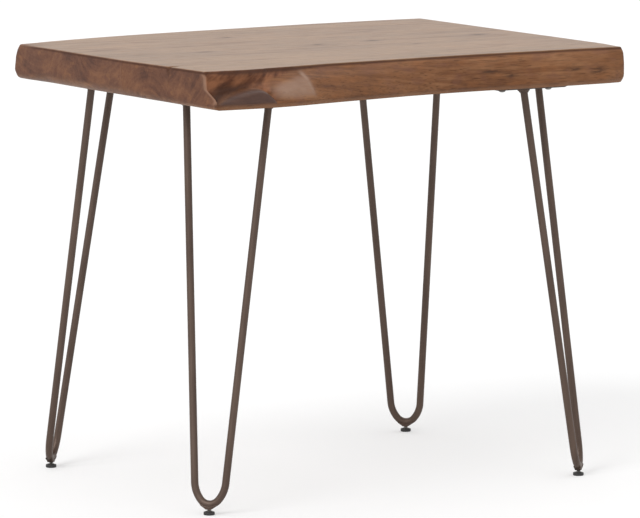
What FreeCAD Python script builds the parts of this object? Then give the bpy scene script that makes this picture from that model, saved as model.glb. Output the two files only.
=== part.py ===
import FreeCAD, Part
import math
import os
import Sketcher

# Side table: a glued-up live-edge top on four bent-bar hairpin legs with levelling feet.
# Millimetres, +Z up, floor at z = 0, +X along the long edge, the live front edge towards -Y.

doc = FreeCAD.newDocument("SideTable")
sheet = doc.addObject("Spreadsheet::Sheet", "Sizes")


def add_sizes(values):
    """Write driving dimensions into the sheet, one aliased cell each."""
    for alias, value in values.items():
        add_sizes.row += 1
        sheet.set(f"A{add_sizes.row}", alias)
        sheet.set(f"B{add_sizes.row}", str(value))
        sheet.setAlias(f"B{add_sizes.row}", alias)


add_sizes.row = 0

# The top
add_sizes({
    "height": 559,
    "thickness": 46,
    "glue_front": -165,
    "glue_mid_front": -65,
    "glue_mid_back": 30,
    "glue_back": 112,
    "left_front": -324,
    "left_mid_front": -331,
    "left_mid_back": -332.5,
    "left_back": -332.5,
    "right_front": 332,
    "right_mid_front": 332.5,
    "right_mid_back": 332.5,
    "right_back": 332.5,
    "left_front_corner": -316,
    "right_front_corner": 330,
    "left_back_corner": -330,
    "right_back_corner": 332.5,
    "corner_reach": 290,
    "saw_reach": 400,
    "edge_round": 5,
    "edge_drop": 6,
    "end_round_top": 3,
    "end_round_under": 8,
})

# Stations along the live edges: place along X, then the face at its foot, ledge, recess and shoulder.
LEDGE_UP, RECESS_UP = 18, 31
LEDGE_SHARE, RECESS_SHARE = 0.18, 0.52


def plain_station(at, foot, shoulder):
    """A station where the edge only leans back a little, from its foot to its shoulder."""
    lean_back = shoulder - foot
    return {"at": at, "foot": foot, "ledge": round(foot + LEDGE_SHARE * lean_back, 1), "ledge_up": LEDGE_UP,
            "recess": round(foot + RECESS_SHARE * lean_back, 1), "recess_up": RECESS_UP, "shoulder": shoulder}


# The recess above the ledge at the left end of the front edge is a natural hollow in the wood.
FRONT_STATIONS = [
    {"at": -336, "foot": -266, "ledge": -262, "ledge_up": 10, "recess": -246, "recess_up": 21, "shoulder": -243},
    {"at": -318, "foot": -269, "ledge": -265, "ledge_up": 10, "recess": -247, "recess_up": 22, "shoulder": -245},
    {"at": -290, "foot": -271, "ledge": -269, "ledge_up": 14, "recess": -249, "recess_up": 23, "shoulder": -248},
    {"at": -262, "foot": -272, "ledge": -269, "ledge_up": 20, "recess": -251, "recess_up": 28, "shoulder": -249},
    {"at": -225, "foot": -272, "ledge": -268, "ledge_up": 18, "recess": -251, "recess_up": 31, "shoulder": -244},
    plain_station(-190, -268, -240),
    plain_station(-150, -260, -233),
    plain_station(-110, -253, -229),
    plain_station(-60, -245, -226),
    plain_station(0, -236, -222),
    plain_station(60, -231, -219),
    plain_station(120, -229, -218),
    plain_station(180, -230, -219),
    plain_station(240, -230, -219),
    plain_station(295, -227.5, -220.5),
    plain_station(340, -222, -221),
]
BACK_STATIONS = [
    plain_station(-336, 207.5, 200.5),
    plain_station(-290, 213, 205),
    plain_station(-240, 223, 215),
    plain_station(-190, 233, 226),
    plain_station(-130, 243, 235),
    plain_station(-60, 249, 242),
    plain_station(20, 254, 249),
    plain_station(90, 260, 255),
    plain_station(160, 266, 259),
    plain_station(230, 271.5, 260),
    plain_station(290, 271, 260),
    plain_station(342, 264, 257),
]
for edge_name, stations in (("front", FRONT_STATIONS), ("back", BACK_STATIONS)):
    for number, station in enumerate(stations, 1):
        add_sizes({f"{edge_name}_{key}_{number:02d}": value for key, value in station.items()})

# The legs, plates, screws and levelling feet. A leg may be welded on a few degrees off its plate's diagonal.
add_sizes({
    "leg_x": 230,
    "leg_y": 153,
    "rod_diameter": 9.5,
    "rod_half_spread": 54,
    "bend_radius": 15,
    "bend_turn": 50,
    "shoulder_radius": 38,
    "bend_drop": 489.4,
    "lean": 7.9,
    "turn_front_left": -4.5,
    "turn_front_right": 0,
    "turn_back_left": 0,
    "turn_back_right": 0,
    "plate_thickness": 4,
    "plate_side": 50,
    "plate_nose": 20,
    "plate_tip": -84,
    "plate_heel": 38,
    "hole_radius": 2.7,
    "hole_near": 40,
    "hole_far": -72,
    "hole_heel": -14,
    "screw_radius": 2.25,
    "screw_length": 32,
    "screw_head_radius": 4.6,
    "screw_head_height": 3.2,
    "screw_crown": 2.8,
    "screw_point": 6,
    "pilot_radius": 2.3,
    "boss_low": 7,
    "boss_high": 12,
    "boss_tip": 3.3,
    "boss_wing": 10.6,
    "boss_thickness": 8,
    "stud_radius": 2.5,
    "bore_radius": 2.55,
    "bore_top": 15,
    "stud_low": 1.5,
    "stud_high": 13.4,
    "collar_low": 4.05,
    "collar_height": 1.1,
    "collar_half": 3.25,
    "pad_radius": 7,
    "pad_height": 4,
    "pad_round": 0.8,
    "pad_socket_low": 1.4,
})
doc.recompute()

CORNERS = {"front_left": (-1, -1), "front_right": (1, -1), "back_left": (-1, 1), "back_right": (1, 1)}
FOOT_REACH = "(Sizes.bend_drop + Sizes.bend_radius) * sin(Sizes.lean * 1 deg)"
UNDERSIDE = "(Sizes.height - Sizes.thickness)"
FIT = 0.001


def size(expression):
    """The present value of an expression on the sheet."""
    return float(getattr(sheet.evalExpression(expression), "Value", sheet.evalExpression(expression)))


def new_body(label, base=None, turn=0):
    """A body under its own label, placed by expressions and turned about Z in degrees."""
    body = doc.addObject("PartDesign::Body", label)
    body.Label = label
    body.Placement = FreeCAD.Placement(FreeCAD.Vector(), FreeCAD.Rotation(FreeCAD.Vector(0, 0, 1), turn))
    place(body, base)
    return body


def place(item, base):
    """Bind an object's place to three expressions."""
    for axis, expression in zip("xyz", base or ()):
        item.setExpression(f"Placement.Base.{axis}", expression)


def new_sketch(body, name, role, along=None, tilt=None):
    """A sketch on one of the body's own planes, moved along its normal and tilted about its first axis."""
    sketch = body.newObject("Sketcher::SketchObject", name)
    plane = next(item for item in body.Origin.OriginFeatures if item.Role == role)
    sketch.AttachmentSupport = [(plane, "")]
    sketch.MapMode = "FlatFace"
    if tilt:
        sketch.AttachmentOffset = FreeCAD.Placement(FreeCAD.Vector(), FreeCAD.Rotation(FreeCAD.Vector(1, 0, 0), 1))
        sketch.setExpression("AttachmentOffset.Rotation.Angle", tilt)
    if along:
        sketch.setExpression("AttachmentOffset.Base.z", along)
    return sketch


def bind(sketch, constraint, expression):
    """Add a dimension to a sketch and tie it to the sheet."""
    sketch.setExpression(f"Constraints[{sketch.addConstraint(constraint)}]", expression)


def pin(sketch, geometry, point, corner):
    """Hold one point of a sketch at two expressions from its origin."""
    for kind, expression in zip(("DistanceX", "DistanceY"), corner):
        value = size(expression)
        if value == 0:
            line = -2 if kind == "DistanceX" else -1
            sketch.addConstraint(Sketcher.Constraint("PointOnObject", geometry, point, line))
        else:
            bind(sketch, Sketcher.Constraint(kind, -1, 1, geometry, point, value), expression)


def draw_outline(sketch, corners):
    """A closed outline of straight lines, each corner held by expressions."""
    points = [FreeCAD.Vector(size(x), size(y), 0) for x, y in corners]
    lines = [sketch.addGeometry(Part.LineSegment(start, end)) for start, end in zip(points, points[1:] + points[:1])]
    for line, following in zip(lines, lines[1:] + lines[:1]):
        sketch.addConstraint(Sketcher.Constraint("Coincident", line, 2, following, 1))
    for line, corner in zip(lines, corners):
        pin(sketch, line, 1, corner)


def draw_circle(sketch, centre, radius):
    """A circle with its centre and radius held by expressions."""
    middle = FreeCAD.Vector(size(centre[0]), size(centre[1]), 0)
    circle = sketch.addGeometry(Part.Circle(middle, FreeCAD.Vector(0, 0, 1), size(radius)))
    pin(sketch, circle, 3, centre)
    bind(sketch, Sketcher.Constraint("Radius", circle, size(radius)), radius)


def pad_sketch(body, name, sketch, length):
    """Raise a sketch along its normal."""
    pad = body.newObject("PartDesign::Pad", name)
    pad.Profile = sketch
    pad.setExpression("Length", length)
    doc.recompute()
    return pad


def cut_sketch(body, name, sketch, length, upward=True):
    """Cut a sketch out of the body, upward or downward, and make sure that it removed something."""
    before = body.Shape.Volume
    pocket = body.newObject("PartDesign::Pocket", name)
    pocket.Profile = sketch
    pocket.Reversed = upward
    pocket.setExpression("Length", length)
    doc.recompute()
    if body.Shape.Volume >= before:
        raise RuntimeError(f"{name} in {body.Label} cuts nothing")


def screw_places(sign_x, sign_y):
    """The five screw holes of one plate, as expressions in the plan of the table."""
    offsets = [("hole_near", "hole_far"), ("hole_far", "hole_near"), ("hole_near", "0"), ("0", "hole_near"),
               ("hole_heel", "hole_heel")]
    named = [[offset if offset == "0" else f"Sizes.{offset}" for offset in pair] for pair in offsets]
    return [(f"{sign_x} * (Sizes.leg_x + {out})", f"{sign_y} * (Sizes.leg_y + {across})") for out, across in named]


def drill_pilots(body, low, high):
    """Pilot holes for the plate screws that fall between two glue lines."""
    places = [spot for signs in CORNERS.values() for spot in screw_places(*signs) if low < size(spot[1]) < high]
    if not places:
        return
    sketch = new_sketch(body, "Pilots_" + body.Label, "XY_Plane")
    for spot in places:
        draw_circle(sketch, spot, "Sizes.pilot_radius")
    cut_sketch(body, "PilotHoles_" + body.Label, sketch, "Sizes.screw_length")


def is_end_edge(edge, level):
    """True for a straight edge across a sawn end of the top at one level."""
    box = edge.BoundBox
    on_level = abs(box.ZMin - level) < FIT and abs(box.ZMax - level) < FIT
    return on_level and abs(box.Center.x) > size("Sizes.leg_x") and box.YLength > box.XLength


def plain_board(label, front, back):
    """A middle board: square edges at the glue lines, sawn ends rounded a little above and more below."""
    body = new_body(label, ("0", "0", UNDERSIDE))
    sketch = new_sketch(body, "Plan_" + label, "XY_Plane")
    draw_outline(sketch, [(f"Sizes.{side}_{line}", f"Sizes.glue_{line}")
                          for side, line in (("left", front), ("right", front), ("right", back), ("left", back))])
    pad = pad_sketch(body, "Plank_" + label, sketch, "Sizes.thickness")
    top = size("Sizes.thickness")
    for name, level, radius in (("top", top, "Sizes.end_round_top"), ("under", 0, "Sizes.end_round_under")):
        rounding = body.newObject("PartDesign::Fillet", f"Rounded_{name}_{label}")
        rounding.Base = (pad, [f"Edge{number}" for number, edge in enumerate(pad.Shape.Edges, 1)
                               if is_end_edge(edge, level)])
        rounding.setExpression("Radius", radius)
        doc.recompute()
        pad = rounding
    drill_pilots(body, size(f"Sizes.glue_{front}"), size(f"Sizes.glue_{back}"))
    return body


def live_board(label, edge_name, stations):
    """An outer board: a loft of its section along the live edge, then its two ends sawn off."""
    body = new_body(label, ("0", "0", UNDERSIDE))
    glue = f"Sizes.glue_{edge_name}"
    inward = 1 if edge_name == "front" else -1
    sections = []
    for number in range(1, len(stations) + 1):
        def at(key):
            return f"Sizes.{edge_name}_{key}_{number:02d}"
        sketch = new_sketch(body, f"Section_{edge_name}_{number}", "YZ_Plane", along=at("at"))
        draw_outline(sketch, [
            (glue, "0"),
            (f"{at('foot')} + {inward} * Sizes.edge_round", "0"),
            (at("foot"), "Sizes.edge_drop"),
            (at("ledge"), at("ledge_up")),
            (at("recess"), at("recess_up")),
            (at("shoulder"), "Sizes.thickness - Sizes.edge_drop"),
            (f"{at('shoulder')} + {inward} * Sizes.edge_round", "Sizes.thickness"),
            (glue, "Sizes.thickness"),
        ])
        sections.append(sketch)
    loft = body.newObject("PartDesign::AdditiveLoft", "LiveEdge_" + label)
    loft.Profile = sections[0]
    loft.Sections = sections[1:]
    doc.recompute()
    saw = new_sketch(body, "SawnEnds_" + label, "XY_Plane")
    reach = f"{-inward} * Sizes.corner_reach"
    for side, beyond in (("left", "-Sizes.saw_reach"), ("right", "Sizes.saw_reach")):
        draw_outline(saw, [(f"Sizes.{side}_{edge_name}", glue), (f"Sizes.{side}_{edge_name}_corner", reach),
                           (beyond, reach), (beyond, glue)])
    cut_sketch(body, "Sawn_" + label, saw, "Sizes.thickness")
    drill_pilots(body, *sorted((size(glue), size(reach))))
    return body


def mounting_plate(label, base, turn):
    """A triangular plate with clipped corners and five screw holes, its right angle towards the table's corner."""
    body = new_body(label, base, turn)
    sketch = new_sketch(body, "Plan_" + label, "XY_Plane")
    side, nose, tip, heel = (f"Sizes.plate_{name}" for name in ("side", "nose", "tip", "heel"))
    draw_outline(sketch, [(side, nose), (nose, side), (tip, side), (tip, heel), (heel, tip), (side, tip)])
    pad = pad_sketch(body, "Sheet_" + label, sketch, "Sizes.plate_thickness")
    pad.Reversed = True
    doc.recompute()
    holes = new_sketch(body, "Holes_" + label, "XY_Plane")
    for out, across in (("hole_near", "hole_far"), ("hole_far", "hole_near"), ("hole_heel", "hole_heel")):
        draw_circle(holes, (f"Sizes.{out}", f"Sizes.{across}"), "Sizes.hole_radius")
    draw_circle(holes, ("Sizes.hole_near", "0"), "Sizes.hole_radius")
    draw_circle(holes, ("0", "Sizes.hole_near"), "Sizes.hole_radius")
    cut_sketch(body, "ScrewHoles_" + label, holes, "Sizes.plate_thickness", upward=False)
    return body


def hairpin(label, base, turn):
    """One bar bent to a point: two straight runs, easy shoulders and a tight bend, in a plane that leans outward."""
    body = new_body(label, base, turn)
    spread, drop, radius = (size(f"Sizes.{name}") for name in ("rod_half_spread", "bend_drop", "bend_radius"))
    shoulder, half_turn = size("Sizes.shoulder_radius"), math.radians(size("Sizes.bend_turn"))
    centre = FreeCAD.Vector((shoulder - radius) * math.sin(half_turn), (shoulder - radius) * math.cos(half_turn) - drop)
    reach = math.hypot(spread + centre.x, centre.y)
    slope = math.atan2(spread + centre.x, -centre.y) - math.asin(shoulder / reach)
    touch = FreeCAD.Vector(shoulder * math.cos(slope) - centre.x, centre.y - shoulder * math.sin(slope))
    axis = FreeCAD.Vector(0, 0, 1)
    left_circle = Part.Circle(centre, axis, shoulder)
    tip_circle = Part.Circle(FreeCAD.Vector(0, -drop), axis, radius)
    right_circle = Part.Circle(FreeCAD.Vector(-centre.x, centre.y), axis, shoulder)
    straight_down = 1.5 * math.pi
    turns = [math.pi + slope, straight_down - half_turn, straight_down + half_turn, 2 * math.pi - slope]
    spine = new_sketch(body, "Line_" + label, "YZ_Plane", tilt="-Sizes.lean * 1 deg")
    down = spine.addGeometry(Part.LineSegment(FreeCAD.Vector(-spread, 0), FreeCAD.Vector(-touch.x, touch.y)))
    left = spine.addGeometry(Part.ArcOfCircle(left_circle, turns[0], turns[1]))
    tip = spine.addGeometry(Part.ArcOfCircle(tip_circle, turns[1], turns[2]))
    right = spine.addGeometry(Part.ArcOfCircle(right_circle, turns[2], turns[3]))
    up = spine.addGeometry(Part.LineSegment(touch, FreeCAD.Vector(spread, 0)))
    path = [down, left, tip, right, up]
    for piece, following in zip(path, path[1:]):
        spine.addConstraint(Sketcher.Constraint("Tangent", piece, 2, following, 1))
    pin(spine, down, 1, ("-Sizes.rod_half_spread", "0"))
    pin(spine, up, 2, ("Sizes.rod_half_spread", "0"))
    pin(spine, tip, 3, ("0", "-Sizes.bend_drop"))
    bind(spine, Sketcher.Constraint("Radius", tip, radius), "Sizes.bend_radius")
    offset = "(Sizes.shoulder_radius - Sizes.bend_radius) * sin(Sizes.bend_turn * 1 deg)"
    for arc, sign in ((left, ""), (right, "-")):
        bind(spine, Sketcher.Constraint("Radius", arc, shoulder), "Sizes.shoulder_radius")
        bind(spine, Sketcher.Constraint("DistanceX", -1, 1, arc, 3, size(sign + offset)), sign + offset)
    doc.recompute()
    section = body.newObject("Sketcher::SketchObject", "Round_" + label)
    section.AttachmentSupport = [(spine, "Edge1")]
    section.MapMode = "NormalToEdge"
    draw_circle(section, ("0", "0"), "Sizes.rod_diameter / 2")
    pipe = body.newObject("PartDesign::AdditivePipe", "Bar_" + label)
    pipe.Profile = section
    pipe.Spine = (spine, [f"Edge{number}" for number in range(1, len(path) + 1)])
    doc.recompute()
    top = new_sketch(body, "Top_" + label, "XY_Plane", along="-Sizes.plate_thickness")
    half_deep, half_wide = "2 * Sizes.rod_diameter", "2 * Sizes.rod_half_spread"
    draw_outline(top, [(half_deep, half_wide), (f"-{half_deep}", half_wide), (f"-{half_deep}", f"-{half_wide}"),
                       (half_deep, f"-{half_wide}")])
    cut_sketch(body, "CutFlat_" + label, top, "2 * Sizes.rod_diameter")
    bore = new_sketch(body, "Bore_" + label, "XY_Plane", along=f"-{UNDERSIDE}")
    draw_circle(bore, (FOOT_REACH, "0"), "Sizes.bore_radius")
    cut_sketch(body, "StudBore_" + label, bore, "Sizes.bore_top")
    return body


def threaded_boss(label, foot, turn, rod):
    """A boss welded under the bend, drawn out to wings along the bar, bored for the stud and hollowed to sit on it."""
    body = new_body("Blank_" + label, (*foot, "0"), turn)
    side = new_sketch(body, "Side_" + label, "YZ_Plane")
    tip, wing, low, high = (f"Sizes.boss_{name}" for name in ("tip", "wing", "low", "high"))
    draw_outline(side, [(f"-{tip}", low), (tip, low), (wing, high), (f"-{wing}", high)])
    blank = pad_sketch(body, "Wings_" + label, side, "Sizes.boss_thickness")
    blank.SideType = "Symmetric"
    doc.recompute()
    bore = new_sketch(body, "Thread_" + label, "XY_Plane")
    draw_circle(bore, ("0", "0"), "Sizes.bore_radius")
    cut_sketch(body, "Bored_" + label, bore, high)
    boss = doc.addObject("Part::Cut", label)
    boss.Label = label
    boss.Base = body
    boss.Tool = rod
    doc.recompute()
    return boss


def levelling_stud(label, foot):
    """A threaded stud, left plain, with a hexagon collar to turn it by."""
    body = new_body(label, (*foot, "0"))
    shank = new_sketch(body, "Shank_" + label, "XY_Plane", along="Sizes.stud_low")
    draw_circle(shank, ("0", "0"), "Sizes.stud_radius")
    pad_sketch(body, "Stem_" + label, shank, "Sizes.stud_high - Sizes.stud_low")
    collar = new_sketch(body, "Collar_" + label, "XY_Plane", along="Sizes.collar_low")
    point = "Sizes.collar_half / cos(30 deg)"
    draw_outline(collar, [(f"{side} * {point} * cos({angle} deg)", f"{side} * {point} * sin({angle} deg)")
                          for side in (1, -1) for angle in (30, 90, 150)])
    pad_sketch(body, "Hexagon_" + label, collar, "Sizes.collar_height")
    return body


def foot_pad(label, foot):
    """A round pad with a blind socket for the stud, turned from one profile."""
    body = new_body(label, (*foot, "0"))
    sketch = new_sketch(body, "Profile_" + label, "XZ_Plane")
    rim, top, corner = "Sizes.pad_radius", "Sizes.pad_height", "Sizes.pad_round"
    draw_outline(sketch, [("0", "0"), (f"{rim} - {corner}", "0"), (rim, corner), (rim, f"{top} - {corner}"),
                          (f"{rim} - {corner}", top), ("Sizes.bore_radius", top),
                          ("Sizes.bore_radius", "Sizes.pad_socket_low"), ("0", "Sizes.pad_socket_low")])
    turned = body.newObject("PartDesign::Revolution", "Turned_" + label)
    turned.Profile = sketch
    turned.ReferenceAxis = (sketch, ["V_Axis"])
    turned.Angle = 360
    doc.recompute()
    return body


def wood_screw():
    """One pan-head wood screw pointing up, its head's flat underside at z = 0."""
    body = new_body("wood_screw")
    sketch = new_sketch(body, "Profile_wood_screw", "XZ_Plane")
    head, crown, shank, length = (f"Sizes.screw_{name}" for name in ("head_radius", "crown", "radius", "length"))
    draw_outline(sketch, [("0", "-Sizes.screw_head_height"), (crown, "-Sizes.screw_head_height"), (head, "0"),
                          (shank, "0"), (shank, f"{length} - Sizes.screw_point"), ("0", length)])
    turned = body.newObject("PartDesign::Revolution", "Turned_wood_screw")
    turned.Profile = sketch
    turned.ReferenceAxis = (sketch, ["V_Axis"])
    turned.Angle = 360
    doc.recompute()
    return body


def plate_screws(label, screw, signs):
    """The five screws of one plate, as separate solids."""
    under_plate = size(f"{UNDERSIDE} - Sizes.plate_thickness")
    copies = []
    for spot in screw_places(*signs):
        copy = screw.Shape.copy()
        copy.translate(FreeCAD.Vector(size(spot[0]), size(spot[1]), under_plate))
        copies.append(copy)
    group = doc.addObject("Part::Feature", label)
    group.Label = label
    group.Shape = Part.makeCompound(copies)
    return group


nodes = [
    live_board("board_front", "front", FRONT_STATIONS),
    plain_board("board_mid_front", "front", "mid_front"),
    plain_board("board_centre", "mid_front", "mid_back"),
    plain_board("board_mid_back", "mid_back", "back"),
    live_board("board_back", "back", BACK_STATIONS),
]
screw = wood_screw()
for corner, signs in CORNERS.items():
    quarter = math.degrees(math.atan2(signs[1], signs[0]))
    facing = quarter + size(f"Sizes.turn_{corner}")
    base = (f"{signs[0]} * Sizes.leg_x", f"{signs[1]} * Sizes.leg_y", UNDERSIDE)
    foot = (f"{signs[0]} * Sizes.leg_x + {FOOT_REACH} * cos({facing} deg)",
            f"{signs[1]} * Sizes.leg_y + {FOOT_REACH} * sin({facing} deg)")
    rod = hairpin("hairpin_" + corner, base, facing)
    nodes += [
        mounting_plate("mounting_plate_" + corner, base, quarter - 45),
        rod,
        plate_screws("plate_screws_" + corner, screw, signs),
        threaded_boss("leveller_boss_" + corner, foot, facing, rod),
        levelling_stud("leveller_stud_" + corner, foot),
        foot_pad("foot_pad_" + corner, foot),
    ]

doc.recompute()
for item in doc.Objects:
    if {"Invalid", "Error"} & set(item.State):
        raise RuntimeError(f"{item.Label} failed: {item.State}")
for node in nodes:
    if node.Shape.isNull() or not node.Shape.isValid():
        raise RuntimeError(f"{node.Label} has no valid shape")

os.makedirs("parts", exist_ok=True)
for node in nodes:
    node.Shape.exportStep(f"parts/{node.Label}.step")
box = Part.makeCompound([node.Shape for node in nodes]).BoundBox
print(f"{len(nodes)} nodes, {box.XMin:.1f} to {box.XMax:.1f}, {box.YMin:.1f} to {box.YMax:.1f}, "
      f"{box.ZMin:.1f} to {box.ZMax:.1f} mm")
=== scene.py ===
import math

import bmesh
import bpy
from mathutils import Matrix, Vector, noise
from mathutils.bvhtree import BVHTree


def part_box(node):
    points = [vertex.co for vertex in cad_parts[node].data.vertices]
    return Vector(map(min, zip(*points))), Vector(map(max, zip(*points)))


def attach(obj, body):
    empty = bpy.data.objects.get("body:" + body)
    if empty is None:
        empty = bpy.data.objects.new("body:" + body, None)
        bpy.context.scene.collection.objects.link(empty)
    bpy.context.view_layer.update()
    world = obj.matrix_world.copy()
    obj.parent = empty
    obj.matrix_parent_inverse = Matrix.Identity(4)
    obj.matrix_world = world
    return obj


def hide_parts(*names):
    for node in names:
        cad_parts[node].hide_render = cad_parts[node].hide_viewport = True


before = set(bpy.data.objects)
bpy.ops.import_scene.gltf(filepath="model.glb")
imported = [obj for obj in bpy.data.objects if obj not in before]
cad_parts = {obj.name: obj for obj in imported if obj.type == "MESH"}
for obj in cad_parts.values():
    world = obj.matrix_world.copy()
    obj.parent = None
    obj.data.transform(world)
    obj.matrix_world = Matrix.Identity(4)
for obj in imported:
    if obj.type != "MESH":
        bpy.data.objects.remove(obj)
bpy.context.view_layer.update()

# Live-edge side table on hairpin legs, in metres and in the frame of the solids:
# +X along the long edge, front at -Y, +Z up.

MM = 0.001
CORNERS = {"front_left": (-1, -1), "front_right": (1, -1), "back_left": (-1, 1), "back_right": (1, 1)}

# The photograph's view: where the camera stands, how it is turned, and its lens for a 640 pixel wide frame
CAMERA_PLACE = Vector((-3.679, -5.699, 1.186))
CAMERA_YAW, CAMERA_PITCH, CAMERA_ROLL = (math.radians(angle) for angle in (32.896, 7.613, -0.358))
PHOTO_WIDTH = 640
FOCAL_PIXELS = 5273
SENSOR = 36.0


# Node trees

class Wire:
    """One socket of a node tree. Plain operators on wires add Math nodes, and node() adds any other node."""

    def __init__(self, tree, socket=None):
        self.tree = tree
        self.socket = socket

    def node(self, kind, settings=None, output=0, **inputs):
        """Add a node with its settings, then its inputs, by name with _ for a space or by number as in_0."""
        made = self.tree.nodes.new(kind)
        for name, value in (settings or {}).items():
            if name == "stops":
                set_stops(made.color_ramp, value)
            else:
                setattr(made, name, value)
        for name, value in inputs.items():
            key = int(name[3:]) if name.startswith("in_") else name.replace("_", " ")
            self.feed(made.inputs[key], value)
        return Wire(self.tree, made.outputs[output])

    def feed(self, socket, value):
        """Link a wire into a socket, or set a plain value on it."""
        if isinstance(value, Wire):
            self.tree.links.new(value.socket, socket)
        else:
            socket.default_value = value

    def math(self, operation, *values):
        inputs = {f"in_{number}": value for number, value in enumerate(values)}
        return self.node("ShaderNodeMath", {"operation": operation}, **inputs)

    def __add__(self, other):
        return self.math("ADD", self, other)

    def __radd__(self, other):
        return self.math("ADD", other, self)

    def __sub__(self, other):
        return self.math("SUBTRACT", self, other)

    def __rsub__(self, other):
        return self.math("SUBTRACT", other, self)

    def __mul__(self, other):
        return self.math("MULTIPLY", self, other)

    def __truediv__(self, other):
        return self.math("DIVIDE", self, other)

    def __pow__(self, other):
        return self.math("POWER", self, other)

    def __rpow__(self, other):
        return self.math("POWER", other, self)

    def most(self, other):
        return self.math("MAXIMUM", self, other)

    def step(self, low, high):
        """Rise smoothly from 0 at low to 1 at high."""
        return self.node("ShaderNodeMapRange", {"interpolation_type": "SMOOTHSTEP"},
                         in_0=self, in_1=low, in_2=high, in_3=0.0, in_4=1.0)

    def ramp(self, *stops):
        """A colour from stops of place and colour."""
        return self.node("ShaderNodeValToRGB", {"stops": stops}, in_0=self)

    def tint(self, colour, factor, blend="MIX"):
        """Mix this colour with another by a factor."""
        other = colour if isinstance(colour, Wire) else (*colour, 1)
        return self.node("ShaderNodeMix", {"data_type": "RGBA", "blend_type": blend}, output=2,
                         in_0=factor, in_6=self, in_7=other)


def set_stops(ramp, stops):
    """Give a colour ramp its stops."""
    while len(ramp.elements) > 1:
        ramp.elements.remove(ramp.elements[-1])
    for number, (place, colour) in enumerate(stops):
        element = ramp.elements[0] if number == 0 else ramp.elements.new(place)
        element.position = place
        element.color = (*colour, 1)


def new_material(name):
    """An empty material with its shader, its wire and the place on the surface."""
    material = bpy.data.materials.new(name)
    material.use_nodes = True
    tree = material.node_tree
    wire = Wire(tree)
    place = wire.node("ShaderNodeTexCoord", output="Object")
    return material, tree.nodes["Principled BSDF"], wire, place


def dress(wire, shader, **inputs):
    """Feed the inputs of a shader, by name with _ for a space."""
    for name, value in inputs.items():
        wire.feed(shader.inputs[name.replace("_", " ")], value)


def stretched_noise(place, stretch, detail=2.0, roughness=0.5, shift=(0, 0, 0)):
    """Noise about 0.5, with its own number of features per metre along each axis."""
    moved = place.node("ShaderNodeMapping", in_0=place, Location=shift, Scale=stretch)
    return place.node("ShaderNodeTexNoise", Vector=moved, Scale=1.0, Detail=detail, Roughness=roughness)


def line_noise(along, roughness=0.5):
    """Noise about 0.5 along one measure."""
    return along.node("ShaderNodeTexNoise", {"noise_dimensions": "1D"}, W=along, Scale=1.0, Detail=2.0,
                      Roughness=roughness)


def axes(place):
    """The three parts of a place, as wires."""
    split = place.node("ShaderNodeSeparateXYZ", in_0=place).socket.node
    return [Wire(place.tree, output) for output in split.outputs]


def attribute(wire, name):
    return wire.node("ShaderNodeAttribute", {"attribute_name": name}, output="Fac")


# Wood

DARK_GRAIN, MID_GRAIN, LIGHT_GRAIN = (0.082, 0.028, 0.010), (0.190, 0.075, 0.028), (0.322, 0.153, 0.069)
ORANGE_FLECK, PLUM_FLECK = (0.300, 0.112, 0.036), (0.160, 0.064, 0.040)
# Painted sheen: the top of each board is mixed towards this paler, slightly yellower colour
TOP_PAINTED_SHEEN = (0.330, 0.195, 0.080)
END_DARK, END_MID, END_LIGHT = (0.092, 0.039, 0.025), (0.148, 0.063, 0.036), (0.212, 0.094, 0.048)
END_GLINT = (0.255, 0.112, 0.050)
PORE_SHADE = (0.026, 0.010, 0.006)
ARRIS_SHADE = (0.055, 0.019, 0.009)
# The hollow's own colours, and the painted shade of its crevice
HOLLOW_DARK, HOLLOW_LIGHT, CREVICE_PAINTED_SHADE = (0.078, 0.024, 0.010), (0.285, 0.114, 0.052), (0.030, 0.011, 0.006)
WANE_SHADE, WANE_LIGHT = (0.050, 0.022, 0.016), (0.086, 0.040, 0.028)
# Painted highlights on the hollow's facet and ridge crest, and on the rims of the sawn ends
FACET_PAINTED_HIGHLIGHT, RIM_PAINTED_HIGHLIGHT = (0.310, 0.190, 0.132), (0.330, 0.185, 0.120)

# Knots on the front edge: place along X, height, and half sizes
KNOTS = ((0.246, 0.5345, 0.010, 0.0020), (0.118, 0.5370, 0.015, 0.0022), (0.148, 0.5315, 0.011, 0.0026),
         (0.284, 0.5310, 0.010, 0.0040))
# Paler and darker stretches of the front edge: middle along X, half length, shade and strength
STRETCHES = ((-0.08, 0.09, LIGHT_GRAIN, 0.14), (0.29, 0.05, LIGHT_GRAIN, 0.14),
             (0.10, 0.08, DARK_GRAIN, 0.12))
# Small knots on the top of two boards: x, y and half sizes
TOP_SPOTS = {"board_back": ((-0.052, 0.136, 0.0060, 0.0040),),
             "board_centre": ((0.092, 0.008, 0.0070, 0.0050), (0.0, -0.003, 0.0045, 0.0030),
                              (-0.182, -0.021, 0.0090, 0.0035), (0.264, 0.015, 0.0100, 0.0045),
                              (0.116, -0.057, 0.0050, 0.0025))}
# Layers of the grain along a board and on its ends, in the order in which board_wood names them: features
# per metre along X, Y and Z, then the pattern's detail and roughness, and its shift if it has its own
GRAIN = (((2.2, 7.0, 7.0), 2.0, 0.5), ((10.0, 32.0, 32.0), 2.0, 0.5), ((1.7, 60.0, 60.0), 4.0, 0.62),
         ((42.0, 130.0, 170.0), 3.0, 0.65), ((16.0, 620.0, 620.0), 2.0, 0.55), ((9.0, 16.0, 24.0), 3.0, 0.55),
         ((48.0, 1300.0, 1300.0), 0.0, 0.5), ((34.0, 50.0, 70.0), 2.0, 0.5), ((3.2, 120.0, 120.0), 3.0, 0.62))
END_GRAIN = (((1.0, 19.0, 34.0), 4.0, 0.58), ((1.0, 62.0, 80.0), 4.0, 0.65),
             ((1.0, 42.0, 58.0), 3.0, 0.6, (0.0, 2.7, 1.1)), ((1.0, 850.0, 850.0), 1.0, 0.5))
RINGS_PER_METRE, RAYS_PER_METRE, RAY_LEAN = 190.0, 150.0, 0.35
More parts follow.
